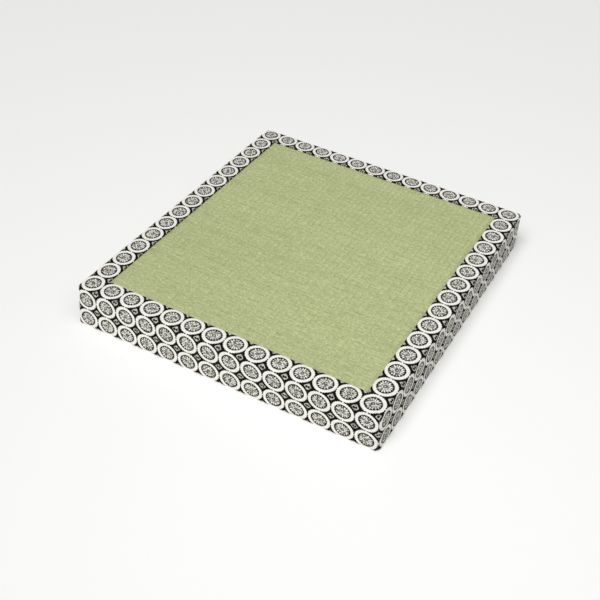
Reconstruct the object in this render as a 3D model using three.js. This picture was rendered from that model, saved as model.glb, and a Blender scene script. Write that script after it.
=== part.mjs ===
// A thick tatami seat mat: a rush-faced body bordered on all four sides with roundel cloth.
// Millimetres, +Z up. It rests on Z = 0 with the origin under its middle, +X to the right along
// the front edge and +Y towards the back.
//
//   rush_mat                                 the body, rush facing and filling together: one
//                                            filled solid, as the filling never shows
//   border_front, _right, _back and _left    one strip of cloth each, folded in over the top,
//                                            down the side and under the body, and mitred to
//                                            its neighbours along all four corners

import * as THREE from 'three';

// ---- Driving dimensions ----

const WIDTH = 425;            // along the front: fourteen roundels of 30.3
const LENGTH = 467;           // front to back
const HEIGHT = 58.5;          // two rows of roundels
const CLOTH = 1.5;            // the border cloth with the hem turned in behind it
const GAP = 0.3;              // between pieces that lie against each other
const MITRE_GAP = 0.45;       // between the ends of two strips
const CORNER_RADIUS = 6;      // the upright corners, seen from above
const TOP_RADIUS = 3;         // the fold from the top to the side
const FOOT_RADIUS = 2;        // the fold from the side to the underside
const TURN_UNDER = 20;        // how far the cloth reaches in below the body
const RUSH_DROP = 0.6;        // the rush lies this far below the top of the border
const RUSH_CROWN = 0.4;       // and rises this much towards its middle
const BED_SLOPE = 2.5;        // the body's underside steps up over this width to clear the cloth
const BODY_EASE = 0.8;        // the body's upright corners are this much rounder than the cloth's

// How far each strip reaches in over the top, and the side of the body it lies on, as a turn
// about +Z from the front. They go round in order, so each one's neighbours are next to it.
const BORDERS = [
  { name: 'border_front', reach: 29.0, side: LENGTH / 2, run: WIDTH },
  { name: 'border_right', reach: 30.8, side: WIDTH / 2, run: LENGTH },
  { name: 'border_back', reach: 28.5, side: LENGTH / 2, run: WIDTH },
  { name: 'border_left', reach: 29.6, side: WIDTH / 2, run: LENGTH },
];

// Where the rush comes up beside a border, from the stitched-down line to the open surface.
const RUSH_RISE = [
  { beyondBorder: 0.3, share: 0 },
  { beyondBorder: 1.6, share: 0.3 },
  { beyondBorder: 4, share: 0.8 },
  { beyondBorder: 9, share: 1 },
];

const FOLD_STEPS = 4;         // flats round a fold of the cloth
const CORNER_STEPS = 3;       // flats round half of an upright corner
const QUARTER = Math.PI / 2;
const EIGHTH = Math.PI / 4;

// ---- Finishes ----

const rush = new THREE.MeshStandardMaterial({ color: '#b2b989', roughness: 0.8, metalness: 0 });
const roundelCloth = new THREE.MeshStandardMaterial({ color: '#a9a89f', roughness: 0.85, metalness: 0 });

// ---- Shared geometry ----

// Points round an arc, both ends included, each as [along, up].
function arc(centreAlong, centreUp, radius, from, to, steps) {
  return Array.from({ length: steps + 1 }, (_, i) => {
    const angle = from + (to - from) * (i / steps);
    return [centreAlong + radius * Math.cos(angle), centreUp + radius * Math.sin(angle)];
  });
}

// Gathers triangles whose corners are points in space. Equal points become one corner, and a
// triangle with two equal corners, which has no area, is left out.
class Skin {
  constructor() {
    this.places = new Map();
    this.positions = [];
    this.triangles = [];
  }

  corner(point) {
    const key = point.map((value) => value.toFixed(5)).join(',');
    if (!this.places.has(key)) {
      this.places.set(key, this.positions.length / 3);
      this.positions.push(...point);
    }
    return this.places.get(key);
  }

  triangle(a, b, c) {
    const corners = [a, b, c].map((point) => this.corner(point));
    if (new Set(corners).size === 3) this.triangles.push(...corners);
  }

  quad(a, b, c, d) {
    this.triangle(a, b, c);
    this.triangle(a, c, d);
  }

  geometry() {
    const made = new THREE.BufferGeometry();
    made.setAttribute('position', new THREE.Float32BufferAttribute(this.positions, 3));
    made.setIndex(this.triangles);
    made.computeVertexNormals();
    return made;
  }
}

// ---- The body ----

// A level ring round the body. Each side stands in from the outside of the mat by its own
// amount, in the order of BORDERS, and the corners are round.
function bodyRing(insets, radius, height) {
  const [front, right, back, left] = insets;
  const low = [-WIDTH / 2 + left + radius, -LENGTH / 2 + front + radius];
  const high = [WIDTH / 2 - right - radius, LENGTH / 2 - back - radius];
  const centres = [
    [high[0], low[1]],
    [high[0], high[1]],
    [low[0], high[1]],
    [low[0], low[1]],
  ];
  return centres.flatMap(([x, y], corner) => {
    const from = (corner - 1) * QUARTER;
    return arc(x, y, radius, from, from + QUARTER, 2 * CORNER_STEPS)
      .map(([px, py]) => [px, py, height]);
  });
}

function buildBody() {
  const clearance = CLOTH + GAP;
  const bed = HEIGHT - clearance;               // the rush under the border
  const open = HEIGHT - RUSH_DROP;              // the rush beside it
  const edge = TOP_RADIUS - clearance;          // rounding of the body's top edge
  const level = (inset, height) => {
    const radius = Math.max(CORNER_RADIUS - inset, CORNER_RADIUS - TOP_RADIUS) + BODY_EASE;
    return bodyRing([inset, inset, inset, inset], radius, height);
  };
  const rings = [
    level(TURN_UNDER + GAP + BED_SLOPE, 0),
    level(TURN_UNDER + GAP, clearance),
    level(FOOT_RADIUS + GAP, clearance),
    level(clearance, FOOT_RADIUS + GAP),
    ...arc(TOP_RADIUS, HEIGHT - TOP_RADIUS, edge, 2 * QUARTER, QUARTER, FOLD_STEPS)
      .map(([inset, height]) => level(inset, height)),
    ...RUSH_RISE.map(({ beyondBorder, share }) => bodyRing(
      BORDERS.map(({ reach }) => reach + beyondBorder),
      1 + beyondBorder,
      bed + (open - bed) * share,
    )),
  ];

  const skin = new Skin();
  const count = rings[0].length;
  const underside = [0, 0, 0];
  const crown = [0, 0, open + RUSH_CROWN];
  const last = rings.at(-1);
  for (let i = 0; i < count; i += 1) {
    const next = (i + 1) % count;
    skin.triangle(underside, rings[0][next], rings[0][i]);
    for (let r = 0; r + 1 < rings.length; r += 1) {
      skin.quad(rings[r][i], rings[r][next], rings[r + 1][next], rings[r + 1][i]);
    }
    skin.triangle(crown, last[i], last[next]);
  }
  const body = new THREE.Mesh(skin.geometry(), rush);
  body.name = 'rush_mat';
  return body;
}

// ---- The border strips ----

// The cut edge of a strip, as [inset, height], from its inner edge over the top, down the side,
// under the body and back along the inside of the cloth.
function stripSection(reach) {
  const half = CLOTH / 2;
  const topCentre = [TOP_RADIUS, HEIGHT - TOP_RADIUS];
  const footCentre = [FOOT_RADIUS, FOOT_RADIUS];
  return [
    ...arc(...topCentre, TOP_RADIUS, QUARTER, 2 * QUARTER, FOLD_STEPS),
    ...arc(...footCentre, FOOT_RADIUS, 2 * QUARTER, 3 * QUARTER, FOLD_STEPS),
    [CORNER_RADIUS, 0],
    [TURN_UNDER, 0],
    [TURN_UNDER, CLOTH],
    [CORNER_RADIUS, CLOTH],
    ...arc(...footCentre, FOOT_RADIUS - CLOTH, 3 * QUARTER, 2 * QUARTER, FOLD_STEPS),
    ...arc(...topCentre, TOP_RADIUS - CLOTH, 2 * QUARTER, QUARTER, FOLD_STEPS),
    [CORNER_RADIUS, HEIGHT - CLOTH],
    ...arc(reach - half, HEIGHT - half, half, -QUARTER, QUARTER, FOLD_STEPS),
    [CORNER_RADIUS, HEIGHT],
  ];
}

// A strip lies along X with its outer face on Y = 0 and its end at either corner of the mat.
// Each point of its section turns with the upright corner as far as the mitre. Points further in
// than the corner's round go straight to the mitre, which on top runs to the point where the
// inner edges of this strip and its neighbour meet.
function buildStrip({ name, reach, run }, neighbours) {
  const half = run / 2;
  const shorten = 1 - MITRE_GAP / Math.SQRT2 / half;
  const section = stripSection(reach);

  const mitre = (inset, height, neighbour) => {
    if (height < HEIGHT / 2) return inset;
    const slope = (neighbour.reach - CORNER_RADIUS) / (reach - CORNER_RADIUS);
    return CORNER_RADIUS + (inset - CORNER_RADIUS) * slope;
  };
  const place = ([inset, height], direction, angle) => {
    const neighbour = neighbours[direction < 0 ? 0 : 1];
    const radius = Math.max(CORNER_RADIUS - inset, 0);
    const back = radius > 0 ? CORNER_RADIUS : mitre(inset, height, neighbour);
    const along = half - back + radius * Math.sin(angle);
    const inward = radius > 0 ? CORNER_RADIUS - radius * Math.cos(angle) : inset;
    return [direction * along * shorten, inward, height];
  };

  const angles = Array.from({ length: CORNER_STEPS + 1 }, (_, i) => (EIGHTH * i) / CORNER_STEPS);
  const stations = [
    ...angles.toReversed().map((angle) => ({ direction: -1, angle })),
    ...angles.map((angle) => ({ direction: 1, angle })),
  ].map(({ direction, angle }) => section.map((point) => place(point, direction, angle)));

  const skin = new Skin();
  for (let s = 0; s + 1 < stations.length; s += 1) {
    for (let i = 0; i < section.length; i += 1) {
      const next = (i + 1) % section.length;
      skin.quad(stations[s][i], stations[s][next], stations[s + 1][next], stations[s + 1][i]);
    }
  }
  const outline = section.map(([inset, height]) => new THREE.Vector2(inset, height));
  for (const [a, b, c] of THREE.ShapeUtils.triangulateShape(outline, [])) {
    skin.triangle(stations[0][a], stations[0][c], stations[0][b]);
    skin.triangle(stations.at(-1)[a], stations.at(-1)[b], stations.at(-1)[c]);
  }
  const strip = new THREE.Mesh(skin.geometry(), roundelCloth);
  strip.name = name;
  return strip;
}

// ---- Assembly ----

const mat = new THREE.Group();
mat.add(buildBody());
BORDERS.forEach((border, i) => {
  const neighbours = [BORDERS.at(i - 1), BORDERS[(i + 1) % BORDERS.length]];
  const strip = buildStrip(border, neighbours);
  const turn = i * QUARTER;
  strip.position.set(Math.sin(turn) * border.side, -Math.cos(turn) * border.side, 0);
  strip.rotation.z = turn;
  mat.add(strip);
});

export default mat;
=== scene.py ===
import math

import bpy
import numpy as np
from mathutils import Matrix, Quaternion, Vector, noise


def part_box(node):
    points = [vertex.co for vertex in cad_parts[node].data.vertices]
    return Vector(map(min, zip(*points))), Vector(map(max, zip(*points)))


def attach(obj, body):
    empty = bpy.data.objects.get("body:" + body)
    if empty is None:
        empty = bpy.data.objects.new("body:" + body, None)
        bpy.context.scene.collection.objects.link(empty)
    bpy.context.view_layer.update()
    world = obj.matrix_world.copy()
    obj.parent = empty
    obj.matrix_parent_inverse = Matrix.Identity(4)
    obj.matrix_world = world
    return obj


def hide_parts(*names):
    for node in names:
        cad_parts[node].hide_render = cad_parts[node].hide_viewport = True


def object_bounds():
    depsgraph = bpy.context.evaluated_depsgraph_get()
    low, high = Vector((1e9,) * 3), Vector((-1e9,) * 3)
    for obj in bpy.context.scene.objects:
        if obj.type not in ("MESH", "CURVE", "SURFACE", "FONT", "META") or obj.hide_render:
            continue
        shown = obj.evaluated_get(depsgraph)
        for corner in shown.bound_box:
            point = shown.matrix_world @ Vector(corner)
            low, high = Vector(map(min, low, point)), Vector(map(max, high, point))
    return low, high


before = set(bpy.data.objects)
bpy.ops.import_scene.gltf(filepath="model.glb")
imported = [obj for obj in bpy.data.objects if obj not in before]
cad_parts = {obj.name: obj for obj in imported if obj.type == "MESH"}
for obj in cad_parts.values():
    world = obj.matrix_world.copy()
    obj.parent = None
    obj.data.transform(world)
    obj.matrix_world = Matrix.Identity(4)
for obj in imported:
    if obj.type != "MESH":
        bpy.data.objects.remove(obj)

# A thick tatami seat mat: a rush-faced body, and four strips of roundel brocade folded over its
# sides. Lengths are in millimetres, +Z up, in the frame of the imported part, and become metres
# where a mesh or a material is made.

CAD_LOW, CAD_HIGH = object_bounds()
MM = 0.001

# ---- The mat ----

WIDTH, LENGTH, HEIGHT = (CAD_HIGH - CAD_LOW) / MM


def reach_of(node, axis):
    """How far a strip of the border reaches in over the top, in mm."""
    low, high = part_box(node)
    return (high - low)[axis] / MM


REACH = {
    "front": reach_of("border_front", 1),
    "right": reach_of("border_right", 0),
    "back": reach_of("border_back", 1),
    "left": reach_of("border_left", 0),
}
SIDES = list(REACH)           # each side's neighbours are next to it, round the mat

CLOTH = 1.5                   # the border cloth with its hem turned in behind
CORNER_RADIUS = 6             # the upright corners, seen from above
TOP_RADIUS = 3                # the fold from the top to the side
FOOT_RADIUS = 2               # the fold from the side to the underside
TURN_UNDER = 20               # how far the cloth reaches in below the body
GAP = 0.3                     # between the cloth and the body
BED = HEIGHT - CLOTH - GAP    # the rush pressed down under the cloth
OPEN_RUSH = HEIGHT - 0.6      # the rush beside it
CROWN = 0.4                   # its rise to the middle of the mat
BED_SLOPE = 2.5               # the body's underside steps up over this width to clear the cloth

# The mat isn't a true box: its foot stands out from under its top by this much, in X and Y, at
# the front left, front right, back right and back left corner.
FOOT_SPREAD = {
    (-1, -1): (-2.1, -3.3),
    (1, -1): (2.1, 1.9),
    (1, 1): (0.0, 0.0),
    (-1, 1): (0.0, 0.0),
}

# ---- The weave and the pattern ----

NOISE_SPAN = (0.3, 0.7)       # nearly all of a noise lies between these

RIB = 7.87                    # from groove to groove of the rush facing, along the front
RUSH = 1.18                   # one rush and the one beside it, where they show in a rib
GROOVE = 0.15                 # how deep the binding threads pull the rush
RUSH_RELIEF = 0.26            # from the top of a rush down to the line between two
FIBRE = (16.7, 0.38)          # long and wide, in the rush's skin
FIBRE_RISE = 0.08             # how far a fibre stands up
MOTTLE = 2.9                  # across a blotch of the skin, as coarse as it needs to be to show
BUNDLE = (250, 38)            # long and wide, of rush of one crop
FIBRE_SHADE = 0.07            # a fibre makes the rush lighter or darker by this share
MOTTLE_SHADE = 0.17           # a blotch by this
BUNDLE_SHADE = 0.03           # and a bundle by this
PAINTED_SHADE = 0.98            # painted shade: the rush's share of its colour in a groove and at the border

CELL = 30.3                   # a roundel with its share of the gaps between, one sun
THREADS = 40                  # in a cell each way: half as many as in real silk, so that they show
PETALS = 16                   # of the chrysanthemum in each roundel
RING = (10.6, 14.8)           # the inside and outside of the ring, from the roundel's middle
SEAM_START = 5.2              # the seams between petals run from here to the ring
SEAM_REACH = 6.7              # the flower ends here at a seam
PETAL_REACH = 9.2             # and here in the middle of a petal
WHITE_START = 2.3             # a petal's middle is white from here to its end
SEAM_EDGE = 0.32              # from 0 at a seam to 1 in the middle of a petal: dark below this
WHITE_EDGE = 0.45             # and white above this
INNER_RING = (4.2, 4.7)       # a dark ring across the petals
EYE_RING = (1.6, 2.3)         # and one round the flower's eye
LOZENGE = 4.7                 # from the middle of the lozenge between roundels to its points
HEART_APART = 1.6             # from the middle of the lozenge to its two dark hearts
HEART = 1.3                   # their radius
RUBBED = 3.6                  # across a patch of worn or caught silk
UNWORN = 0.48                 # petals are white where the patches' noise is above this
WEAR = (0.38, 0.56)           # the grey silk goes from its darkest to its lightest between these
WORN_TONE = (0.30, 1.25)      # its share of its colour, at its darkest and its lightest
DYE = (0.90, 1.06)            # the least and the most that a thread crossing takes of its colour
THREAD_RISE = 0.12            # from the line between two threads up to the top of one
ACROSS = 29.04                # from roundel to roundel across a strip
WALL_ROWS = (16.5, 45.5)      # the two rows on the side, down from the top

# How the roundels lie along each strip: how many, how far apart, how far their middle is from
# the strip's, and how far the row on top is from the outside of the mat. The cloth is pulled a
# little askew, so its rows lean along the side by this share of the way down, at either end.
ROUNDELS = {
    "front": {"count": 14, "apart": 30.30, "shift": -1.65, "top_row": 15.2, "lean": (0.070, 0.024)},
    "right": {"count": 15, "apart": 31.37, "shift": 1.26, "top_row": 17.2, "lean": (0.070, -0.075)},
    "back": {"count": 14, "apart": 30.30, "shift": 1.10, "top_row": 12.7, "lean": (-0.024, 0.02)},
    "left": {"count": 15, "apart": 31.37, "shift": -1.26, "top_row": 14.6, "lean": (0.02, 0.013)},
}

BACKING_THREAD = 1.6          # from thread to thread of the cloth below, drawn coarse to show
BACKING_RISE = 0.2            # from the line between two of its threads up to the top of one
BACKING_BLOTCH = 11           # across a blotch in it
BACKING_CHECK = 0.18          # the weave's share in its tone, beside the blotches'


# ---- Small helpers ----

def linear(hex_colour):
    """An sRGB hex colour as linear red, green, blue and alpha."""
    values = [int(hex_colour[i:i + 2], 16) / 255 for i in (1, 3, 5)]
    return [v / 12.92 if v <= 0.04045 else ((v + 0.055) / 1.055) ** 2.4 for v in values] + [1.0]


def add(tree, kind, inputs=None, **settings):
    """Adds a node. Each input is joined to a socket, or to a node's first output, or set."""
    made = tree.nodes.new(kind)
    for name, value in settings.items():
        setattr(made, name, value)
    for key, value in (inputs or {}).items():
        if isinstance(value, bpy.types.Node):
            value = value.outputs[0]
        if isinstance(value, bpy.types.NodeSocket):
            tree.links.new(value, made.inputs[key])
        else:
            made.inputs[key].default_value = value
    return made


def smooth(share):
    """0 to 1 with a soft start and end."""
    share = min(max(share, 0.0), 1.0)
    return share * share * (3 - 2 * share)


def new_object(name, data):
    """An object at the origin, in the scene."""
    made = bpy.data.objects.new(name, data)
    bpy.context.scene.collection.objects.link(made)
    return made


def read(items, name, size=1, kind=np.float32):
    """What each item of a mesh has under a name, as an array with a row for each."""
    values = np.empty(len(items) * size, kind)
    items.foreach_get(name, values)
    return values.reshape(-1, size) if size > 1 else values


def spread_foot(mesh):
    """Moves a piece with the foot of the mat, by more the lower and the nearer to a corner."""
    places = read(mesh.vertices, "co", 3)
    share_x = places[:, 0] / (WIDTH * MM)
    share_y = places[:, 1] / (LENGTH * MM)
    down = 1 - places[:, 2] / (HEIGHT * MM)
    moved = places.copy()
    for (sign_x, sign_y), (out_x, out_y) in FOOT_SPREAD.items():
        near = (0.5 + sign_x * share_x) * (0.5 + sign_y * share_y) * down
        moved[:, 0] += near * out_x * MM
        moved[:, 1] += near * out_y * MM
    mesh.vertices.foreach_set("co", moved.ravel())
    mesh.update()


# ---- Camera ----

LENS = 57.94                  # on the 36 mm sensor
AZIMUTH = 27.11               # round the mat from its front, to the right
ELEVATION = 40.03
ROLL = 3.62
DISTANCE = 1257.6
AIM = (22.0, -74.8, 29.3)


def make_camera():
    """A camera at a high three-quarter view, turned a little about its own axis."""
    turn, rise = math.radians(AZIMUTH), math.radians(ELEVATION)
    back = Vector((
        math.sin(turn) * math.cos(rise),
        -math.cos(turn) * math.cos(rise),
        math.sin(rise),
    ))
    data = bpy.data.cameras.new("Camera")
    data.lens = LENS
    camera = new_object("Camera", data)
    camera.location = (Vector(AIM) + back * DISTANCE) * MM
    camera.rotation_mode = "QUATERNION"
    level = (-back).to_track_quat("-Z", "Y")
    camera.rotation_quaternion = level @ Quaternion((0, 0, 1), math.radians(ROLL))
    bpy.context.scene.camera = camera


# ---- Materials ----

def new_material(name):
    """A new material, with its tree and its shader."""
    material = bpy.data.materials.new(name)
    material.use_nodes = True
    tree = material.node_tree
    return material, tree, tree.nodes["Principled BSDF"]


def finish(tree, shader, colour, bump, roughness):
    """Gives a shader its pattern and relief, and one roughness all over."""
    tree.links.new(colour, shader.inputs["Base Color"])
    tree.links.new(bump.outputs["Normal"], shader.inputs["Normal"])
    shader.inputs["Roughness"].default_value = roughness


def band(tree, value, low, high):
    """1 where value lies between low and high, and 0 elsewhere."""
    above = add(tree, "ShaderNodeMath", {0: value, 1: low}, operation="GREATER_THAN")
    below = add(tree, "ShaderNodeMath", {0: value, 1: high}, operation="LESS_THAN")
    return add(tree, "ShaderNodeMath", {0: above, 1: below}, operation="MULTIPLY")


def place_in_cell(tree, crossing, shift):
    """Where a thread crossing is in its cell, in mm from the middle, with the cells moved."""
    to_middle = shift + 0.5 / THREADS
    moved = add(
        tree, "ShaderNodeVectorMath", {0: crossing, 1: (to_middle, to_middle, 0)}, operation="ADD"
    )
    wrapped = add(
        tree, "ShaderNodeVectorMath", {0: moved, 1: (0.5, 0.5, 0.5), 2: (-0.5, -0.5, -0.5)},
        operation="WRAP",
    )
    return add(
        tree, "ShaderNodeVectorMath", {0: wrapped, 1: (CELL, CELL, 0)}, operation="MULTIPLY"
    )


def draw_roundel(tree, crossing, unworn):
    """A ring, the flower in it and its white petals, each 1 in the figure and 0 outside.

    The flower is a chrysanthemum. Dark seams between its petals end in beads of black beside the
    ring, and a petal is white only where unworn is 1.
    """
    place = place_in_cell(tree, crossing, 0.0)
    radius = add(tree, "ShaderNodeVectorMath", {0: place}, operation="LENGTH").outputs["Value"]
    parts = add(tree, "ShaderNodeSeparateXYZ", {0: place}).outputs
    angle = add(tree, "ShaderNodeMath", {0: parts["Y"], 1: parts["X"]}, operation="ARCTAN2")
    turned = add(tree, "ShaderNodeMath", {0: angle, 1: PETALS / 2}, operation="MULTIPLY")
    wave = add(tree, "ShaderNodeMath", {0: turned}, operation="COSINE")
    petal = add(tree, "ShaderNodeMath", {0: wave}, operation="ABSOLUTE")

    ring = band(tree, radius, *RING)
    at_seam = add(tree, "ShaderNodeMath", {0: petal, 1: SEAM_EDGE}, operation="LESS_THAN")
    seam_run = band(tree, radius, SEAM_START, RING[0])
    seams = add(tree, "ShaderNodeMath", {0: at_seam, 1: seam_run}, operation="MULTIPLY")
    reach = add(
        tree, "ShaderNodeMath", {0: petal, 1: PETAL_REACH - SEAM_REACH, 2: SEAM_REACH},
        operation="MULTIPLY_ADD",
    )
    flower = add(tree, "ShaderNodeMath", {0: radius, 1: reach}, operation="LESS_THAN")
    for line in (seams, band(tree, radius, *INNER_RING), band(tree, radius, *EYE_RING)):
        flower = add(
            tree, "ShaderNodeMath", {0: flower, 1: line}, operation="SUBTRACT", use_clamp=True
        )
    inside = add(tree, "ShaderNodeMath", {0: petal, 1: WHITE_EDGE}, operation="GREATER_THAN")
    outward = add(tree, "ShaderNodeMath", {0: radius, 1: WHITE_START}, operation="GREATER_THAN")
    petals = flower
    for limit in (inside, outward, unworn):
        petals = add(tree, "ShaderNodeMath", {0: petals, 1: limit}, operation="MULTIPLY")
    return ring, flower, petals


def draw_lozenge(tree, crossing):
    """1 in the lozenge between each four roundels, but 0 in its two hearts and outside."""
    place = place_in_cell(tree, crossing, 0.5)
    folded = add(tree, "ShaderNodeVectorMath", {0: place}, operation="ABSOLUTE")
    slant = add(tree, "ShaderNodeVectorMath", {0: folded, 1: (1, 1, 0)}, operation="DOT_PRODUCT")
    away = add(
        tree, "ShaderNodeVectorMath", {0: folded, 1: (HEART_APART, 0, 0)}, operation="DISTANCE"
    )
    lozenge = add(
        tree, "ShaderNodeMath", {0: slant.outputs["Value"], 1: LOZENGE}, operation="LESS_THAN"
    )
    hearts = add(
        tree, "ShaderNodeMath", {0: away.outputs["Value"], 1: HEART}, operation="LESS_THAN"
    )
    return add(
        tree, "ShaderNodeMath", {0: lozenge, 1: hearts}, operation="SUBTRACT", use_clamp=True
    )


def raise_threads(tree, cell, figure):
    """Threads across the strip in the figures and along it in the ground, each one round."""
    turns = add(
        tree, "ShaderNodeVectorMath", {0: cell, 1: (THREADS * math.pi,) * 3}, operation="MULTIPLY"
    )
    waves = add(tree, "ShaderNodeVectorMath", {0: turns}, operation="SINE")
    rounds = add(tree, "ShaderNodeVectorMath", {0: waves}, operation="ABSOLUTE")
    parts = add(tree, "ShaderNodeSeparateXYZ", {0: rounds}).outputs
    thread = add(
        tree, "ShaderNodeMix", {"Factor": figure, "A": parts["X"], "B": parts["Y"]},
        data_type="FLOAT",
    )
    raised = add(
        tree, "ShaderNodeMath", {0: figure, 1: 0.5, 2: thread.outputs["Result"]},
        operation="MULTIPLY_ADD",
    )
    return add(
        tree, "ShaderNodeBump", {"Strength": 0.55, "Distance": THREAD_RISE * MM, "Height": raised}
    )


def make_brocade():
    """Jacquard brocade, black silk ground with white and grey figures.

    The eye gets stepped, thread-sharp roundels with a chrysanthemum inside, a lozenge between
    each four of them, white silk rubbed grey from place to place, and the fine ribbing of packed
    threads, all matt.
    """
    material, tree, shader = new_material("Jacquard brocade border cloth")
    cell = add(tree, "ShaderNodeUVMap", uv_map="Roundels")

    # The figures are worked out once for each thread crossing, so their edges are stepped.
    crossing = add(
        tree, "ShaderNodeVectorMath", {0: cell, 1: (1 / THREADS,) * 3}, operation="SNAP"
    )
    patch = add(
        tree, "ShaderNodeVectorMath", {0: crossing, 1: (CELL / RUBBED,) * 3}, operation="MULTIPLY"
    )
    rubbed = add(tree, "ShaderNodeTexNoise", {"Vector": patch, "Scale": 1.0, "Detail": 1.0})
    unworn = add(
        tree, "ShaderNodeMath", {0: rubbed.outputs["Fac"], 1: UNWORN}, operation="GREATER_THAN"
    )
    ring, flower, petals = draw_roundel(tree, crossing, unworn)
    lozenge = draw_lozenge(tree, crossing)
    white = add(tree, "ShaderNodeMath", {0: ring, 1: petals}, operation="MAXIMUM")
    grey = add(tree, "ShaderNodeMath", {0: flower, 1: lozenge}, operation="MAXIMUM")
    figure = add(tree, "ShaderNodeMath", {0: white, 1: grey}, operation="MAXIMUM")

    worn = add(
        tree, "ShaderNodeMapRange",
        {0: rubbed.outputs["Fac"], 1: WEAR[0], 2: WEAR[1], 3: WORN_TONE[0], 4: WORN_TONE[1]},
    )
    grey = add(tree, "ShaderNodeMath", {0: grey, 1: worn}, operation="MULTIPLY")
    ground = add(
        tree, "ShaderNodeMix",
        {"Factor": grey, "A": linear("#15130f"), "B": linear("#c6c5b8")}, data_type="RGBA",
    )
    figured = add(
        tree, "ShaderNodeMix",
        {"Factor": white, "A": ground.outputs["Result"], "B": linear("#f2f0e8")},
        data_type="RGBA",
    )

    # Each crossing takes the dye a little differently.
    speckle = add(tree, "ShaderNodeTexWhiteNoise", {0: crossing}, noise_dimensions="2D")
    dye = add(tree, "ShaderNodeMapRange", {0: speckle.outputs["Value"], 3: DYE[0], 4: DYE[1]})
    colour = add(
        tree, "ShaderNodeVectorMath", {0: figured.outputs["Result"], 1: dye}, operation="MULTIPLY"
    )
    finish(tree, shader, colour.outputs[0], raise_threads(tree, cell, figure), roughness=0.85)
    shader.inputs["Specular IOR Level"].default_value = 0.05
    return material


def make_rush():
    """Igusa rush, dried, mud-dyed and woven on hidden hemp threads.

    The eye gets short dull-green dashes of rush in ribs, each dash its own tone, with fine fibres
    along it, a mottled skin, soft bands where one bundle of rush follows another, and painted shade
    down in the grooves and where the rush rises from under the border.
    """
    material, tree, shader = new_material("Igusa rush, woven")
    place = add(tree, "ShaderNodeTexCoord").outputs["Object"]
    tone = add(tree, "ShaderNodeAttribute", attribute_name="rush_tone").outputs["Fac"]
    rise = add(tree, "ShaderNodeAttribute", attribute_name="out_of_painted_shade").outputs["Fac"]
    colours = add(tree, "ShaderNodeValToRGB", {0: tone})
    stops = (
        (0.0, "#9aa171"), (0.25, "#a7ae7c"), (0.5, "#b0b786"), (0.75, "#b8be8e"), (1.0, "#c4c89c"),
    )
    ramp = colours.color_ramp
    while len(ramp.elements) < len(stops):
        ramp.elements.new(0.5)
    for element, (position, tint) in zip(ramp.elements, stops):
        element.position = position
        element.color = linear(tint)

    along, across = 1 / (FIBRE[0] * MM), 1 / (FIBRE[1] * MM)
    stretched = add(tree, "ShaderNodeMapping", {"Vector": place, "Scale": (along, across, along)})
    fibre = add(tree, "ShaderNodeTexNoise", {"Vector": stretched, "Scale": 1.0, "Detail": 3.0})
    mottle = add(
        tree, "ShaderNodeTexNoise", {"Vector": place, "Scale": 1 / (MOTTLE * MM), "Detail": 1.0}
    )
    along, across = 1 / (BUNDLE[0] * MM), 1 / (BUNDLE[1] * MM)
    bundled = add(tree, "ShaderNodeMapping", {"Vector": place, "Scale": (along, across, along)})
    bundle = add(tree, "ShaderNodeTexNoise", {"Vector": bundled, "Scale": 1.0, "Detail": 2.0})
    low, high = NOISE_SPAN
    # Painted shade darkens the rush in its grooves and where it rises from under the border; the
    # fibres, blotches and bundles vary its own tone.
    shade = add(tree, "ShaderNodeMapRange", {0: rise, 3: PAINTED_SHADE, 4: 1.0})
    for cause, swing in ((fibre, FIBRE_SHADE), (mottle, MOTTLE_SHADE), (bundle, BUNDLE_SHADE)):
        part = add(
            tree, "ShaderNodeMapRange",
            {0: cause.outputs["Fac"], 1: low, 2: high, 3: 1 - swing, 4: 1 + swing},
        )
        shade = add(tree, "ShaderNodeMath", {0: shade, 1: part}, operation="MULTIPLY")
    colour = add(tree, "ShaderNodeVectorMath", {0: colours, 1: shade}, operation="MULTIPLY")
    bump = add(
        tree, "ShaderNodeBump",
        {"Strength": 0.5, "Distance": FIBRE_RISE * MM, "Height": fibre.outputs["Fac"]},
    )
    finish(tree, shader, colour.outputs[0], bump, roughness=0.62)
    shader.inputs["Specular IOR Level"].default_value = 0.35
    return material


def make_backing():
    """Plain-woven backing cloth under the mat, unbleached.

    The eye gets an even, matt oatmeal surface with the small squares of a plain weave.
    """
    material, tree, shader = new_material("Plain woven backing cloth")
    place = add(tree, "ShaderNodeTexCoord").outputs["Object"]
    turns = math.pi / (BACKING_THREAD * MM)
    scaled = add(
        tree, "ShaderNodeVectorMath", {0: place, 1: (turns, turns, 0)}, operation="MULTIPLY"
    )
    waves = add(tree, "ShaderNodeVectorMath", {0: scaled}, operation="SINE")
    parts = add(tree, "ShaderNodeSeparateXYZ", {0: waves}).outputs
    check = add(tree, "ShaderNodeMath", {0: parts["X"], 1: parts["Y"]}, operation="MULTIPLY")
    mottle = add(
        tree, "ShaderNodeTexNoise",
        {"Vector": place, "Scale": 1 / (BACKING_BLOTCH * MM), "Detail": 4.0},
    )
    blend = add(
        tree, "ShaderNodeMath", {0: check, 1: BACKING_CHECK, 2: mottle.outputs["Fac"]},
        operation="MULTIPLY_ADD",
    )
    colour = add(
        tree, "ShaderNodeMix", {"Factor": blend, "A": linear("#b4a98f"), "B": linear("#cdc4ac")},
        data_type="RGBA",
    )
    bump = add(
        tree, "ShaderNodeBump", {"Strength": 0.5, "Distance": BACKING_RISE * MM, "Height": check}
    )
    finish(tree, shader, colour.outputs["Result"], bump, roughness=0.9)
    return material


# ---- The rush face ----

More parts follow.
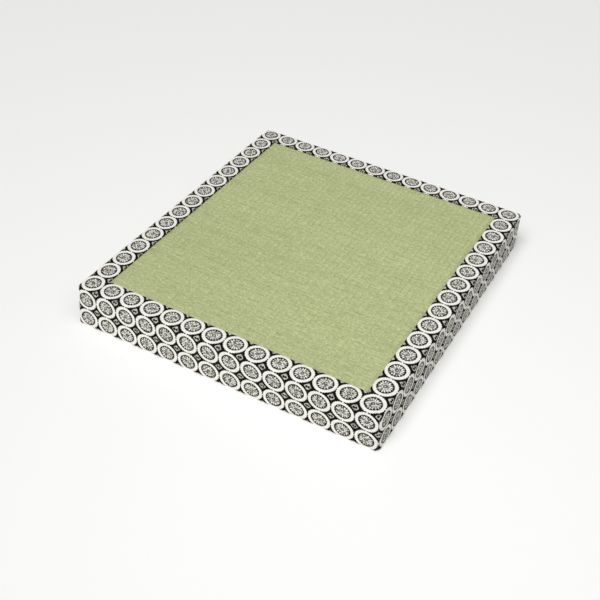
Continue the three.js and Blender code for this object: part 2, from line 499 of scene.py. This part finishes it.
UNDER = 1.0                   # the woven face goes on under the border this far
RIB_LINES = 3                 # lines of points across a rib, the first of them in its groove
RIB_SHOULDER = 0.26           # the groove's share of a rib on each side
EDGE_RISE = (0.3, 3.0)        # how far in from the border the rush starts and ends its rise
WANDER = 0.9                  # a groove strays to either side by up to this much
WANDER_STEP = 0.03            # from one rush's place in the noise of that to the next's
BOW = 1.6                     # a rush strays to either side by up to this much
BOW_LENGTH = (110, 70)        # the length of one stray along the rushes, and across them
OWN_TONE = 0.72               # a dash's own share of its tone, the rest being its whole rush's
OWN_RISE = 0.3                # how much of the relief is a dash's own
DASH_KEY = 1000               # more than the rushes in a rib, so that each dash has its own number
SEED = 7                      # of the dashes' tones and heights


def number_points(tree, per_line):
    """Which rib and which rush each point of the grid belongs to, and its line in the rib."""
    index = add(tree, "GeometryNodeInputIndex")
    line = add(tree, "ShaderNodeMath", {0: index, 1: per_line}, operation="DIVIDE")
    line = add(tree, "ShaderNodeMath", {0: line}, operation="FLOOR")
    rush = add(tree, "ShaderNodeMath", {0: index, 1: per_line}, operation="FLOORED_MODULO")
    rib = add(tree, "ShaderNodeMath", {0: line, 1: RIB_LINES}, operation="DIVIDE")
    rib = add(tree, "ShaderNodeMath", {0: rib}, operation="FLOOR")
    in_rib = add(tree, "ShaderNodeMath", {0: line, 1: RIB_LINES}, operation="FLOORED_MODULO")
    return rib, rush, in_rib


def tone_dashes(tree, seed, rib, rush):
    """A random share for each dash, and its tone, which is in part that of its whole rush."""
    key = add(tree, "ShaderNodeMath", {0: rib, 1: DASH_KEY, 2: rush}, operation="MULTIPLY_ADD")
    whole = add(tree, "FunctionNodeRandomValue", {"ID": rush, "Seed": seed}, data_type="FLOAT")
    own = add(tree, "FunctionNodeRandomValue", {"ID": key, "Seed": seed}, data_type="FLOAT")
    whole, own = whole.outputs["Value"], own.outputs["Value"]
    tone = add(tree, "ShaderNodeMath", {0: whole, 1: 1 - OWN_TONE}, operation="MULTIPLY")
    tone = add(tree, "ShaderNodeMath", {0: own, 1: OWN_TONE, 2: tone}, operation="MULTIPLY_ADD")
    return own, tone


def rise_from_edge(tree, given, place):
    """How far the rush is up out of the border, and on its way to the middle, each 0 to 1."""
    away = add(tree, "ShaderNodeVectorMath", {0: place}, operation="ABSOLUTE")
    parts = add(tree, "ShaderNodeSeparateXYZ", {0: away}).outputs
    half_x = add(tree, "ShaderNodeMath", {0: given["Open width"], 1: 0.5}, operation="MULTIPLY")
    half_y = add(tree, "ShaderNodeMath", {0: given["Open length"], 1: 0.5}, operation="MULTIPLY")
    in_x = add(tree, "ShaderNodeMath", {0: half_x, 1: parts["X"]}, operation="SUBTRACT")
    in_y = add(tree, "ShaderNodeMath", {0: half_y, 1: parts["Y"]}, operation="SUBTRACT")
    nearest = add(tree, "ShaderNodeMath", {0: in_x, 1: in_y}, operation="MINIMUM")
    risen = add(
        tree, "ShaderNodeMapRange",
        {0: nearest, 1: EDGE_RISE[0] * MM, 2: EDGE_RISE[1] * MM, 3: 0.0, 4: 1.0},
        interpolation_type="SMOOTHSTEP",
    )
    middle = add(
        tree, "ShaderNodeMapRange", {0: nearest, 1: 0.0, 2: half_x, 3: 0.0, 4: 1.0},
        interpolation_type="SMOOTHSTEP",
    )
    return risen, middle


def lift_weave(tree, given, rib, rush, own, raised):
    """How high the weave stands over its base: down in the grooves, each dash up or down."""
    together = add(tree, "ShaderNodeMath", {0: rib, 1: rush}, operation="ADD")
    on_top = add(tree, "ShaderNodeMath", {0: together, 1: 2.0}, operation="FLOORED_MODULO")
    signed = add(tree, "ShaderNodeMath", {0: on_top, 1: 0.5}, operation="SUBTRACT")
    uneven = add(
        tree, "ShaderNodeMath", {0: own, 1: OWN_RISE, 2: signed}, operation="MULTIPLY_ADD"
    )
    dash = add(tree, "ShaderNodeMath", {0: uneven, 1: given["Relief"]}, operation="MULTIPLY")
    sunk = add(tree, "ShaderNodeMath", {0: raised, 1: 1.0}, operation="SUBTRACT")
    groove = add(tree, "ShaderNodeMath", {0: sunk, 1: given["Groove"]}, operation="MULTIPLY")
    return add(tree, "ShaderNodeMath", {0: dash, 1: raised, 2: groove}, operation="MULTIPLY_ADD")


def stray(tree, given, place, rib, rush, in_rib):
    """How far a point strays from its place in the grid, in X and in Y.

    The shoulders of a rib stand close to its grooves, and no line of the weave is quite true.
    """
    near = 0.25
    first = add(tree, "ShaderNodeMath", {0: in_rib, 1: 1, 2: near}, operation="COMPARE")
    last = add(
        tree, "ShaderNodeMath", {0: in_rib, 1: RIB_LINES - 1, 2: near}, operation="COMPARE"
    )
    side = add(tree, "ShaderNodeMath", {0: last, 1: first}, operation="SUBTRACT")
    spread = add(
        tree, "ShaderNodeMath", {0: given["Rib"], 1: 1 / RIB_LINES - RIB_SHOULDER},
        operation="MULTIPLY",
    )
    spread = add(tree, "ShaderNodeMath", {0: side, 1: spread}, operation="MULTIPLY")
    down_rib = add(tree, "ShaderNodeMath", {0: rush, 1: WANDER_STEP}, operation="MULTIPLY")
    drift_place = add(tree, "ShaderNodeCombineXYZ", {"X": rib, "Y": down_rib})
    bows = (1 / (BOW_LENGTH[0] * MM), 1 / (BOW_LENGTH[1] * MM), 0)
    bow_place = add(tree, "ShaderNodeVectorMath", {0: place, 1: bows}, operation="MULTIPLY")
    strayed = []
    for where, reach in ((drift_place, WANDER), (bow_place, BOW)):
        drift = add(tree, "ShaderNodeTexNoise", {"Vector": where, "Scale": 1.0, "Detail": 2.0})
        strayed.append(add(
            tree, "ShaderNodeMapRange",
            {0: drift.outputs["Fac"], 1: 0.0, 2: 1.0, 3: -reach * MM, 4: reach * MM},
        ))
    aside = add(tree, "ShaderNodeMath", {0: spread, 1: strayed[0]}, operation="ADD")
    return aside, strayed[1]


def make_face_tree(sizes):
    """A sheet of ribs, each rib a row of rush dashes, staggered from one rib to the next."""
    tree = bpy.data.node_groups.new("Woven rush face", "GeometryNodeTree")
    kinds = dict.fromkeys(sizes, "NodeSocketFloat")
    kinds |= {"Seed": "NodeSocketInt", "Material": "NodeSocketMaterial"}
    for name, kind in kinds.items():
        tree.interface.new_socket(name, in_out="INPUT", socket_type=kind)
    tree.interface.new_socket("Geometry", in_out="OUTPUT", socket_type="NodeSocketGeometry")
    given = add(tree, "NodeGroupInput").outputs

    # A few points across each rib and two along each pair of rushes.
    spans = {}
    for axis, span, pitch, points in (("X", "Width", "Rib", RIB_LINES), ("Y", "Length", "Rush", 2)):
        step = add(tree, "ShaderNodeMath", {0: given[pitch], 1: points}, operation="DIVIDE")
        steps = add(tree, "ShaderNodeMath", {0: given[span], 1: step}, operation="DIVIDE")
        steps = add(tree, "ShaderNodeMath", {0: steps}, operation="CEIL")
        size = add(tree, "ShaderNodeMath", {0: steps, 1: step}, operation="MULTIPLY")
        count = add(tree, "ShaderNodeMath", {0: steps, 1: 1.0}, operation="ADD")
        spans |= {f"Size {axis}": size, f"Vertices {axis}": count}
    grid = add(tree, "GeometryNodeMeshGrid", spans)

    place = add(tree, "GeometryNodeInputPosition")
    rib, rush, in_rib = number_points(tree, spans["Vertices Y"])
    own, tone = tone_dashes(tree, given["Seed"], rib, rush)
    risen, middle = rise_from_edge(tree, given, place)
    raised = add(tree, "ShaderNodeMath", {0: in_rib, 1: 0.5}, operation="GREATER_THAN")
    weave = lift_weave(tree, given, rib, rush, own, raised)

    # The base rises from its bed under the border to the open rush, and on to the crown.
    edge = add(
        tree, "ShaderNodeMath", {0: given["Open rush"], 1: given["Bed"]}, operation="SUBTRACT"
    )
    height = given["Bed"]
    for share, rise in ((risen, edge), (middle, given["Crown"]), (risen, weave)):
        height = add(
            tree, "ShaderNodeMath", {0: share, 1: rise, 2: height}, operation="MULTIPLY_ADD"
        )
    aside, bow = stray(tree, given, place, rib, rush, in_rib)
    aside = add(tree, "ShaderNodeMath", {0: aside, 1: risen}, operation="MULTIPLY")
    bow = add(tree, "ShaderNodeMath", {0: bow, 1: risen}, operation="MULTIPLY")
    offset = add(tree, "ShaderNodeCombineXYZ", {"X": aside, "Y": bow, "Z": height})

    sheet = add(tree, "GeometryNodeSetPosition", {"Geometry": grid, "Offset": offset})
    # 1 on a rib's shoulders clear of the border, falling to 0 in the grooves and under the border's
    # edge: where the rush is kept out of the painted shade.
    out_of_painted_shade = add(tree, "ShaderNodeMath", {0: raised, 1: risen}, operation="MULTIPLY")
    for name, value in (("rush_tone", tone), ("out_of_painted_shade", out_of_painted_shade)):
        sheet = add(
            tree, "GeometryNodeStoreNamedAttribute",
            {"Geometry": sheet, "Name": name, "Value": value}, data_type="FLOAT",
            domain="POINT",
        )
    sheet = add(tree, "GeometryNodeRealizeInstances", {"Geometry": sheet})
    sheet = add(
        tree, "GeometryNodeSetMaterial", {"Geometry": sheet, "Material": given["Material"]}
    )
    add(tree, "NodeGroupOutput", {"Geometry": sheet})
    return tree


def make_face_mesh(rush):
    """The woven face as a plain mesh, centred on the opening between the borders."""
    width = WIDTH - REACH["left"] - REACH["right"]
    length = LENGTH - REACH["front"] - REACH["back"]
    sizes = {
        "Width": width + 2 * UNDER,
        "Length": length + 2 * UNDER,
        "Open width": width,
        "Open length": length,
        "Rib": RIB,
        "Rush": RUSH,
        "Groove": GROOVE,
        "Relief": RUSH_RELIEF,
        "Bed": BED,
        "Open rush": OPEN_RUSH,
        "Crown": CROWN,
    }
    values = {name: size * MM for name, size in sizes.items()}
    values |= {"Seed": SEED, "Material": rush}
    tree = make_face_tree(sizes)
    carrier = new_object("rush_face", bpy.data.meshes.new("rush_face"))
    weave = carrier.modifiers.new("Weave", "NODES")
    weave.node_group = tree
    for item in tree.interface.items_tree:
        if item.item_type == "SOCKET" and item.in_out == "INPUT":
            weave[item.identifier] = values[item.name]
    evaluated = carrier.evaluated_get(bpy.context.evaluated_depsgraph_get())
    mesh = bpy.data.meshes.new_from_object(evaluated)
    carrier.modifiers.remove(weave)
    bpy.data.objects.remove(carrier)
    centre = Vector((REACH["left"] - REACH["right"], REACH["front"] - REACH["back"], 0.0)) / 2
    return mesh, centre * MM


# ---- The body ----

BODY_EASE = 0.8               # the body's upright corners are this much rounder than the cloth's
RING_STEPS = 8                # round each upright corner
FOLD_STEPS = 6                # round the body's top edge

# The near corner and the size of the parts of the bake's square: the woven face's, which keeps
# one scale both ways, the sides' and the underside's.
FACE_PART = (0.005, 0.9)
SIDES_PART = ((0.02, 0.93), (0.9, 0.05))
BELOW_PART = ((0.83, 0.02), (0.16, 0.18))


def body_ring(inset, height):
    """A level ring round the body, in from the outside of the mat, with round corners."""
    radius = max(CORNER_RADIUS - inset, CORNER_RADIUS - TOP_RADIUS) + BODY_EASE
    x = WIDTH / 2 - inset - radius
    y = LENGTH / 2 - inset - radius
    ring = []
    for corner, (sign_x, sign_y) in enumerate([(1, -1), (1, 1), (-1, 1), (-1, -1)]):
        for step in range(RING_STEPS + 1):
            angle = (corner - 1 + step / RING_STEPS) * math.pi / 2
            ring.append((
                (sign_x * x + radius * math.cos(angle)) * MM,
                (sign_y * y + radius * math.sin(angle)) * MM,
                height * MM,
            ))
    return ring


def body_rings():
    """The body's skin from the pressed-down rush out, down its sides and in below it."""
    clearance = CLOTH + GAP
    edge = TOP_RADIUS - clearance
    rings = []
    for step in range(FOLD_STEPS + 1):
        angle = step / FOLD_STEPS * math.pi / 2
        inset = TOP_RADIUS - edge * math.sin(angle)
        rings.append(body_ring(inset, HEIGHT - TOP_RADIUS + edge * math.cos(angle)))
    rings.append(body_ring(clearance, FOOT_RADIUS + GAP))
    rings.append(body_ring(FOOT_RADIUS + GAP, clearance))
    rings.append(body_ring(TURN_UNDER + GAP, clearance))
    rings.append(body_ring(TURN_UNDER + GAP + BED_SLOPE, 0))
    return rings


def zip_rings(inner, outer, points):
    """Triangles between two rings of point numbers, both going round the mat's middle."""
    def bearings(ring):
        """A ring's points in order of their angle about the middle, closed, and the angles."""
        angles = [math.atan2(points[i][1], points[i][0]) % math.tau for i in ring]
        start = angles.index(min(angles))
        ring = ring[start:] + ring[:start]
        angles = angles[start:] + angles[:start]
        return ring + ring[:1], angles + [angles[0] + math.tau]

    inner, inner_angles = bearings(inner)
    outer, outer_angles = bearings(outer)
    triangles, i, o = [], 0, 0
    while i + 1 < len(inner) or o + 1 < len(outer):
        inner_next = inner_angles[i + 1] if i + 1 < len(inner) else math.inf
        outer_next = outer_angles[o + 1] if o + 1 < len(outer) else math.inf
        if inner_next < outer_next:
            triangles.append((inner[i], outer[o], inner[i + 1]))
            i += 1
        else:
            triangles.append((inner[i], outer[o], outer[o + 1]))
            o += 1
    return triangles


def make_body(rush, backing):
    """The body: the woven face, then its hidden edges and sides, and the cloth below."""
    face, centre = make_face_mesh(rush)
    places = read(face.vertices, "co", 3) + np.array(centre, np.float32)
    # Each point's tone, and how far it is out of the painted shade in the grooves and at the
    # border.
    marks = {name: read(face.attributes[name].data, "value") for name in ("rush_tone", "out_of_painted_shade")}
    faces = read(face.polygons, "vertices", 4, np.int32).tolist()
    woven = len(faces)
    bpy.data.meshes.remove(face)

    # The grid's points go up Y in each line, so its border is read off the number of lines.
    per_line = int(np.argmax(np.diff(places[:, 1]) < 0)) + 1
    lines = len(places) // per_line
    border = [line * per_line for line in range(lines)]
    border += [(lines - 1) * per_line + i for i in range(1, per_line)]
    border += [line * per_line + per_line - 1 for line in range(lines - 2, -1, -1)]
    border += range(per_line - 2, 0, -1)

    points = places.tolist()
    rings = []
    for ring in body_rings():
        rings.append(list(range(len(points), len(points) + len(ring))))
        points += ring
    faces += zip_rings(border, rings[0], points)
    for upper, lower in zip(rings, rings[1:]):
        for i in range(len(upper)):
            j = (i + 1) % len(upper)
            faces.append((upper[i], lower[i], lower[j], upper[j]))
    hidden = len(faces)
    faces.append(rings[-1][::-1])

    mesh = bpy.data.meshes.new("tatami_body")
    mesh.from_pydata(points, [], faces)
    for material in (rush, backing):
        mesh.materials.append(material)
    slots = np.zeros(len(faces), np.int32)
    slots[woven:] = 1
    mesh.polygons.foreach_set("material_index", slots)
    extra = np.zeros(len(points) - len(places), np.float32)
    for name, values in marks.items():
        layer = mesh.attributes.new(name, "FLOAT", "POINT")
        layer.data.foreach_set("value", np.concatenate([values, extra]))
    map_body(mesh, woven, hidden)
    spread_foot(mesh)
    return new_object("tatami_body", mesh)


def map_body(mesh, woven, hidden):
    """The bake's map: the woven face fills most of the square, the rest shares a strip."""
    loops = read(mesh.loops, "vertex_index", kind=np.int32)
    starts = read(mesh.polygons, "loop_start", kind=np.int32)
    places = read(mesh.vertices, "co", 3)[loops] / MM
    across = places[:, 0] / WIDTH + 0.5
    along = places[:, 1] / LENGTH + 0.5
    down = places[:, 2] / HEIGHT
    corner, size = FACE_PART
    around = 3 * UNDER
    scale = size / (LENGTH - REACH["front"] - REACH["back"] + 2 * around)
    uv = np.stack([
        corner + (places[:, 0] + WIDTH / 2 - REACH["left"] + around) * scale,
        corner + (places[:, 1] + LENGTH / 2 - REACH["front"] + around) * scale,
    ], axis=1)
    sides = slice(starts[woven], starts[hidden])
    below = slice(starts[hidden], len(loops))
    for part, (corner, size), place in (
        (sides, SIDES_PART, (across, down)), (below, BELOW_PART, (across, along)),
    ):
        uv[part] = (np.array(corner) + np.array(size) * np.stack(place, axis=1))[part]
    layer = mesh.uv_layers.new(name="OFBake")
    layer.uv.foreach_set("vector", uv.astype(np.float32).ravel())


# ---- The border strips ----

HALF_CLOTH = CLOTH / 2
MITRE_GAP = 0.05              # the two strips all but touch along the mitre
MITRE_DIP = 0.35              # the cloth sinks into the crease by this much
MITRE_EASE = 1.8              # over this distance
UNEVEN = 0.16                 # the cloth stands up or down by this much from place to place
UNEVEN_LENGTH = (55, 38)      # the length of a rise and fall along the strip, and across it
SIDE_APART = 9.7              # from one strip's place in the noise of the rises to the next's
END_STEPS = (0, 0.3, 0.7, 1.2, 1.8, 2.8, 4.2, 6.0, 8.2, 11.0)   # lines across, in from a mitre
MIDDLE_STEP = 4.5             # from line to line between the ends
HEM_STEPS = 6                 # round a folded edge of the cloth
CREASE = 50                   # sharper edges than this many degrees stay sharp

BAKE_ROWS = 2                 # a strip is laid out in this many lengths in the bake's square
BAKE_MARGIN = (0.01, 0.02)    # left free at the ends and along the sides of a length
HIDDEN_SHARE = 0.12           # the side that doesn't show is this much narrower in it


def middle_path(reach):
    """The middle of the cloth from its inner edge over the top, down and under, as points
    (inset, height) with the way that faces outwards there."""
    top_centre = (TOP_RADIUS, HEIGHT - TOP_RADIUS)
    foot_centre = (FOOT_RADIUS, FOOT_RADIUS)
    path = []

    def straight(start, end, outward, steps):
        """A straight stretch, without its end."""
        for step in range(steps):
            share = step / steps
            inset = start[0] + (end[0] - start[0]) * share
            height = start[1] + (end[1] - start[1]) * share
            path.append((inset, height, outward))

    def bend(centre, radius, start, end, steps):
        """A stretch round an arc, without its end."""
        for step in range(steps):
            angle = start + (end - start) * step / steps
            outward = (math.cos(angle), math.sin(angle))
            path.append((centre[0] + radius * outward[0], centre[1] + radius * outward[1], outward))

    # Each stretch ends with the number of steps in it.
    quarter = math.pi / 2
    top, low = HEIGHT - HALF_CLOTH, HALF_CLOTH
    straight((reach - HALF_CLOTH, top), (CORNER_RADIUS, top), (0, 1), 10)
    straight((CORNER_RADIUS, top), (TOP_RADIUS, top), (0, 1), 3)
    bend(top_centre, TOP_RADIUS - HALF_CLOTH, quarter, 2 * quarter, 8)
    straight((HALF_CLOTH, top_centre[1]), (HALF_CLOTH, foot_centre[1]), (-1, 0), 18)
    bend(foot_centre, FOOT_RADIUS - HALF_CLOTH, 2 * quarter, 3 * quarter, 6)
    straight((FOOT_RADIUS, low), (CORNER_RADIUS, low), (0, -1), 2)
    straight((CORNER_RADIUS, low), (TURN_UNDER - HALF_CLOTH, low), (0, -1), 5)
    path.append((TURN_UNDER - HALF_CLOTH, low, (0, -1)))
    return path


def strip_section(reach):
    """The cloth's edge all round, from its inner edge out over the top and back inside.

    Each point has its inset and height, how far along the cloth it is from the top fold, its
    outward way, and 1 on the side that shows or 0 on the side against the body.
    """
    path = middle_path(reach)
    outer = [
        (inset + HALF_CLOTH * way[0], height + HALF_CLOTH * way[1]) for inset, height, way in path
    ]
    steps = [math.dist(a, b) for a, b in zip(outer, outer[1:])]
    along = np.concatenate([[0.0], np.cumsum(steps)])
    flange = reach - HALF_CLOTH - TOP_RADIUS
    along -= flange + TOP_RADIUS * math.pi / 4
    section = [
        (*point, float(length), way, 1.0) for point, length, (_, _, way) in zip(outer, along, path)
    ]
    angles = [-math.pi / 2 + math.pi * step / HEM_STEPS for step in range(1, HEM_STEPS)]
    for way in ((math.cos(angle), math.sin(angle)) for angle in angles):
        section.append((
            TURN_UNDER - HALF_CLOTH + HALF_CLOTH * way[0], HALF_CLOTH + HALF_CLOTH * way[1],
            float(along[-1]), way, 0.0,
        ))
    for (inset, height, way), length in zip(path[::-1], along[::-1]):
        section.append((
            inset - HALF_CLOTH * way[0], height - HALF_CLOTH * way[1], float(length), way, 0.0,
        ))
    for angle in angles:
        way = (math.cos(angle), math.sin(angle))
        section.append((
            reach - HALF_CLOTH + HALF_CLOTH * way[0],
            HEIGHT - HALF_CLOTH + HALF_CLOTH * way[1],
            float(along[0]) - HALF_CLOTH * max(math.cos(angle / 2 - math.pi / 4), 0.0),
            way, 1.0,
        ))
    return section


def roundel_row(side, length):
    """Which row of roundels a point is in, 0 being the one on top, from how far along the cloth
    it is from the top fold."""
    fold = TOP_RADIUS * (1 - math.pi / 4)
    top_row = -(ROUNDELS[side]["top_row"] - fold)
    first, second = (depth - fold for depth in WALL_ROWS)
    knots = [top_row - 2 * ACROSS, top_row - ACROSS, top_row, first, second]
    knots += [second + ACROSS, second + 2 * ACROSS]
    return float(np.interp(length, knots, range(-2, 5)))


def run_of(side):
    """How long a side of the mat is."""
    return WIDTH if side in ("front", "back") else LENGTH


def end_of(side, direction, inset, height):
    """How far from the strip's middle the cloth goes at this inset, along the cloth."""
    straight = run_of(side) / 2 - CORNER_RADIUS
    if inset < CORNER_RADIUS:
        return straight + (CORNER_RADIUS - inset) * math.pi / 4 - MITRE_GAP
    slope = 1.0
    if height > HEIGHT / 2:
        neighbour = SIDES[(SIDES.index(side) + direction) % len(SIDES)]
        slope = (REACH[neighbour] - CORNER_RADIUS) / (REACH[side] - CORNER_RADIUS)
    return straight - (inset - CORNER_RADIUS) * slope - MITRE_GAP


def strip_stations(side):
    """The lines across a strip: at an end, as its direction and how far in from it, and between
    the ends, as a share of the way."""
    steps = round((run_of(side) - 2 * REACH[side]) / MIDDLE_STEP)
    stations = [(-1, step, None) for step in END_STEPS]
    stations += [(None, None, step / steps) for step in range(1, steps)]
    return stations + [(1, step, None) for step in END_STEPS[::-1]]


def lay_strip(side, section, stations):
    """A strip's points, in place on its side of the mat, and how far each one is along it."""
    order = SIDES.index(side)
    turn = order * math.pi / 2
    straight = run_of(side) / 2 - CORNER_RADIUS
    depth = run_of(SIDES[order - 1])
    points, travel = [], []
    for direction, from_end, share in stations:
        for inset, height, length, way, shown in section:
            if direction is None:
                low = END_STEPS[-1] - end_of(side, -1, inset, height)
                high = end_of(side, 1, inset, height) - END_STEPS[-1]
                along, sink = low + (high - low) * share, 0.0
            else:
                along = direction * (end_of(side, direction, inset, height) - from_end)
                sink = MITRE_DIP * (1 - smooth(from_end / MITRE_EASE)) * shown
            place = (along / UNEVEN_LENGTH[0], length / UNEVEN_LENGTH[1], order * SIDE_APART)
            lift = noise.noise(Vector(place)) * UNEVEN - sink
            radius = CORNER_RADIUS - inset
            if abs(along) > straight and radius > 0:
                angle = (abs(along) - straight) / radius
                out = radius - way[0] * lift
                x = math.copysign(straight + out * math.sin(angle), along)
                y = CORNER_RADIUS - out * math.cos(angle)
            else:
                x, y = along, inset + way[0] * lift
            y -= depth / 2
            points.append((
                (x * math.cos(turn) - y * math.sin(turn)) * MM,
                (x * math.sin(turn) + y * math.cos(turn)) * MM,
                max(height + way[1] * lift, 0.0) * MM,
            ))
            travel.append(along)
    return points, travel


def roundel_place(side, along, length):
    """Where a point of a strip is in its roundels, counted along the strip and across it."""
    spread = ROUNDELS[side]
    share = along / run_of(side) + 0.5
    lean = spread["lean"][0] * (1 - share) + spread["lean"][1] * share
    askew = lean * max(length, 0.0)
    offset = 0.0 if spread["count"] % 2 else 0.5
    return (
        (along - spread["shift"] - askew) / spread["apart"] + offset,
        roundel_row(side, length),
    )


def face_strip(side, section, travel, lines):
    """A strip's faces, and each of their corners' place in the roundels and in the bake."""
    faces, roundels, bake = [], [], []
    size = len(section)
    end, edge = BAKE_MARGIN
    # Round the section, the side that shows takes most of the width of a length.
    widths, total = [0.0], 0.0
    for a, b in zip(section, section[1:] + section[:1]):
        shown = a[4] == 1.0 or b[4] == 1.0
        total += math.dist(a[:2], b[:2]) * (1.0 if shown else HIDDEN_SHARE)
        widths.append(total)
    for s in range(lines - 1):
        row = s * BAKE_ROWS // (lines - 1)
        for i in range(size):
            j = (i + 1) % size
            faces.append((s * size + i, s * size + j, (s + 1) * size + j, (s + 1) * size + i))
            for line, k, level in ((s, i, i), (s, j, i + 1), (s + 1, j, i + 1), (s + 1, i, i)):
                along = travel[line * size + k]
                share = along / run_of(side) + 0.5
                roundels.append(roundel_place(side, along, section[k][2]))
                bake.append((
                    end + (1 - 2 * end) * (share * BAKE_ROWS - row),
                    (row + edge + (1 - 2 * edge) * widths[level] / total) / BAKE_ROWS,
                ))
    # The ends of the cloth, in the mitres, are of the dark ground and lie in the margins.
    for s in (0, lines - 1):
        cap = [s * size + i for i in range(size)]
        faces.append(cap if s else cap[::-1])
        for corner in faces[-1]:
            roundels.append((0.0, 0.5))
            bake.append((1.0 if s else 0.0, (corner % size) / size * end))
    return faces, roundels, bake


def make_strip(side, cloth):
    """One strip of the border, in place on its side of the mat."""
    section = strip_section(REACH[side])
    stations = strip_stations(side)
    points, travel = lay_strip(side, section, stations)
    faces, roundels, bake = face_strip(side, section, travel, len(stations))
    mesh = bpy.data.meshes.new(f"{side}_border")
    mesh.from_pydata(points, [], faces)
    for name, places in (("Roundels", roundels), ("OFBake", bake)):
        layer = mesh.uv_layers.new(name=name)
        layer.uv.foreach_set("vector", np.array(places, np.float32).ravel())
    mesh.shade_smooth()
    mesh.set_sharp_from_angle(angle=math.radians(CREASE))
    mesh.materials.append(cloth)
    spread_foot(mesh)
    return new_object(f"{side}_border", mesh)


# ---- Floor and light ----

FLOOR = 4.0                   # from its middle to its edges, in metres
SURROUND = 0.26               # the strength of the even white light from all round


def make_floor():
    """A plain floor, nearly white and matt."""
    material, _, shader = new_material("Pale studio floor")
    shader.inputs["Base Color"].default_value = linear("#fbfbfa")
    shader.inputs["Roughness"].default_value = 0.9
    corners = [(-FLOOR, -FLOOR, 0), (FLOOR, -FLOOR, 0), (FLOOR, FLOOR, 0), (-FLOOR, FLOOR, 0)]
    mesh = bpy.data.meshes.new("floor")
    mesh.from_pydata(corners, [], [(0, 1, 2, 3)])
    mesh.materials.append(material)
    floor = new_object("floor", mesh)


def make_light(name, kind, place, strength, **softness):
    """A light at place, in metres, that faces the middle of the mat."""
    data = bpy.data.lights.new(name, kind)
    data.energy = strength
    for key, value in softness.items():
        setattr(data, key, value)
    lamp = new_object(name, data)
    lamp.location = place
    lamp.rotation_mode = "QUATERNION"
    lamp.rotation_quaternion = (-Vector(place)).to_track_quat("-Z", "Y")


def light_studio():
    """Soft light from the front and above, and a fill lamp over the front right corner."""
    world = bpy.data.worlds.new("Studio")
    bpy.context.scene.world = world
    world.use_nodes = True
    surround = world.node_tree.nodes["Background"].inputs
    surround["Color"].default_value = (1, 1, 1, 1)
    surround["Strength"].default_value = SURROUND
    make_light("Key light", "SUN", (0.0, -2.0, 3.1), 2.07, angle=math.radians(35))
    make_light("Side light", "AREA", (0.28, -0.38, 0.95), 2.4, size=0.8)
    bpy.context.scene.view_settings.view_transform = "Standard"


# ---- The whole mat ----

make_camera()
light_studio()
make_floor()

rush_material = make_rush()
brocade_material = make_brocade()
body = make_body(rush_material, make_backing())
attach(body, "root")
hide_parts("rush_mat")

for side_name in SIDES:
    strip = make_strip(side_name, brocade_material)
    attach(strip, "root")
    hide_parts(f"border_{side_name}")
